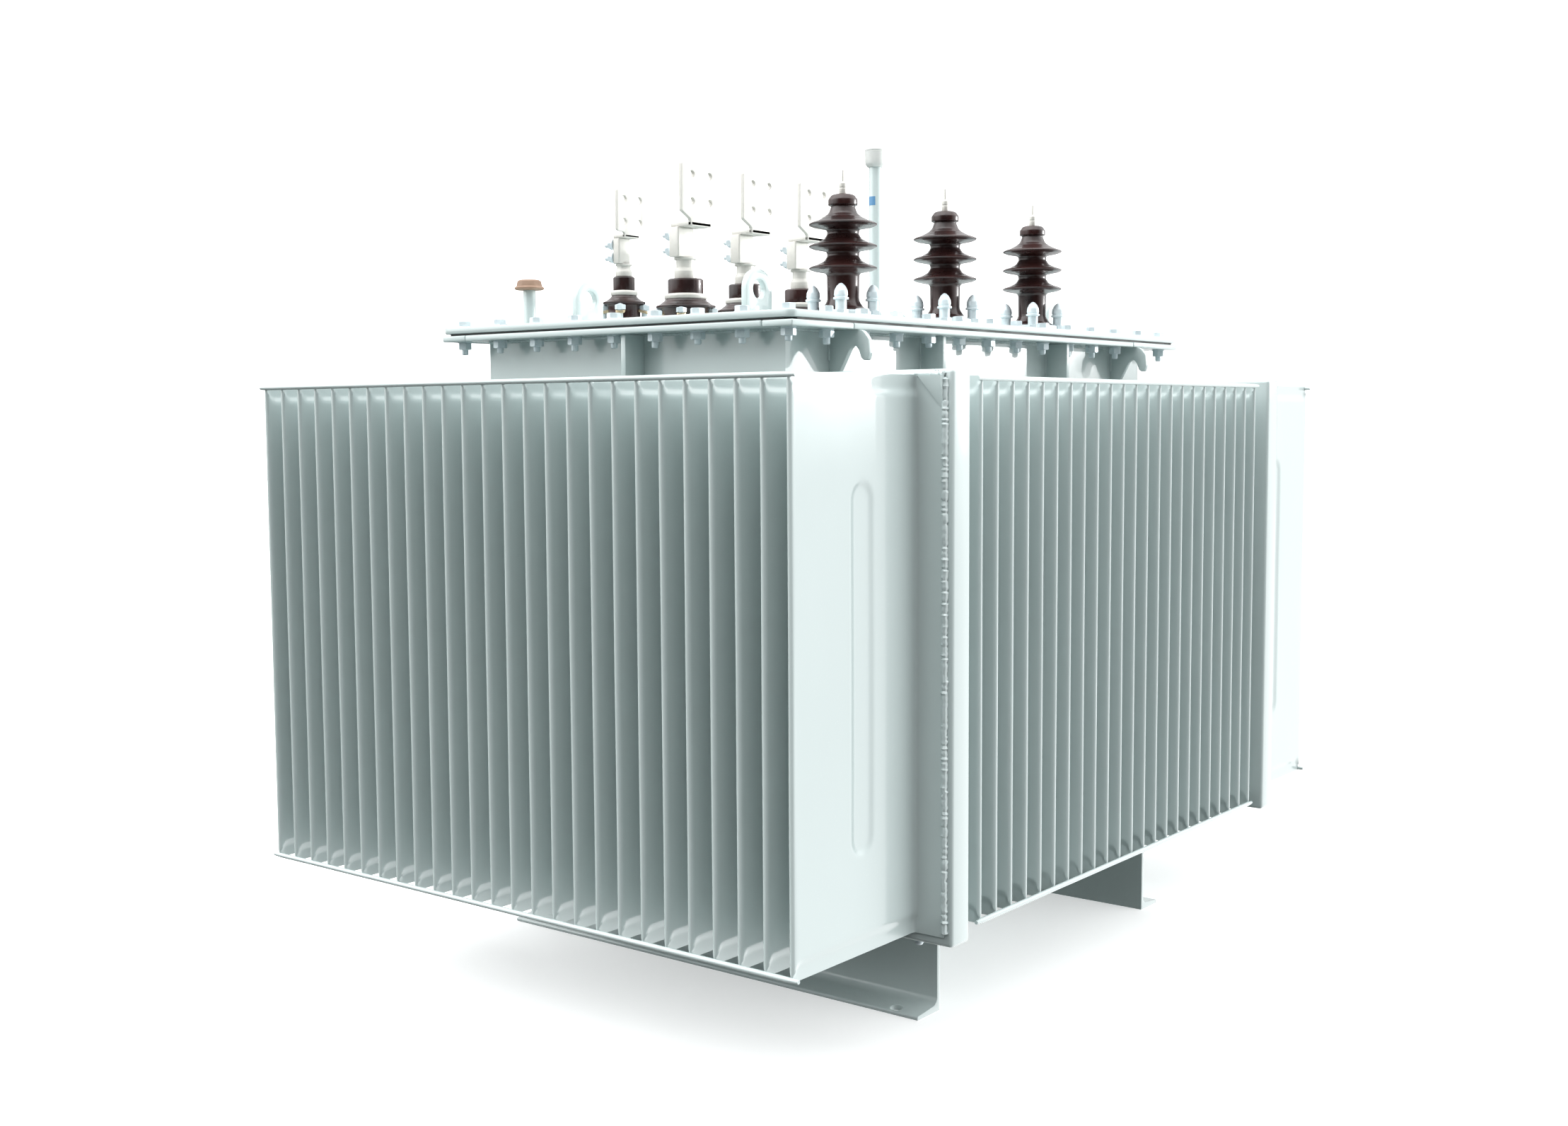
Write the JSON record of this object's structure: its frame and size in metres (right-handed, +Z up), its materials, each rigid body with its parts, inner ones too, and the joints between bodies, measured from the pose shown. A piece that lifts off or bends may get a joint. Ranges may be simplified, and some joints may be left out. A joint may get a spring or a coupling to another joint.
{
  "type": "oil-filled power transformer",
  "caption": "Sealed oil-filled power transformer with a corrugated-fin tank on skids, porcelain bushings on a bolted cover, lifting hooks and lugs.",
  "frame": {"origin": "floor under the middle of the tank, centre of the overall box", "axes": "+Z up, +Y along the tank and the rows of bushings, +X towards the high-voltage bushings"},
  "size_m": [1.254, 1.772, 1.537],
  "materials": {
    "tank_paint": "glossy light grey-green paint",
    "porcelain": "dark brown glaze",
    "tinned_terminal": "tinned, satin",
    "zinc": "bright zinc",
    "gasket_rubber": "matt black",
    "white_cap": "off-white",
    "tan_cap": "tan brown"
  },
  "bodies": {
    "root": {"tank_body": "tank_paint", "tank_floor": "tank_paint", "header_front": "tank_paint", "header_rear": "tank_paint", "fin_wall_front": "tank_paint", "fin_wall_rear": "tank_paint", "fin_wall_right": "tank_paint", "fin_wall_left": "tank_paint", "end_tie_bars": "tank_paint", "side_tie_bars": "tank_paint", "corner_gussets": "tank_paint", "tank_flange": "tank_paint", "cover_plate": "tank_paint", "lifting_hooks_right": "tank_paint", "lifting_hooks_left": "tank_paint", "flange_ribs": "tank_paint", "cover_lug_front_left": "tank_paint", "cover_lug_front_right": "tank_paint", "cover_lug_rear_left": "tank_paint", "cover_lug_rear_right": "tank_paint", "relief_pipe": "tank_paint", "filler_pipe": "tank_paint", "skid_front": "tank_paint", "skid_rear": "tank_paint", "cover_gasket": "gasket_rubber", "hv_bushing_1": "porcelain", "hv_bushing_2": "porcelain", "hv_bushing_3": "porcelain", "lv_bushing_neutral": "porcelain", "lv_bushing_1": "porcelain", "lv_bushing_2": "porcelain", "lv_bushing_3": "porcelain", "hv_clamp_ring_1": "zinc", "hv_clamp_ring_2": "zinc", "hv_clamp_ring_3": "zinc", "hv_terminal_1": "zinc", "hv_terminal_2": "zinc", "hv_terminal_3": "zinc", "drain_plug": "zinc", "lv_terminal_neutral": "tinned_terminal", "lv_terminal_1": "tinned_terminal", "lv_terminal_2": "tinned_terminal", "lv_terminal_3": "tinned_terminal", "relief_pipe_cap": "white_cap", "filler_cap": "tan_cap"}
  },
  "joints": []
}
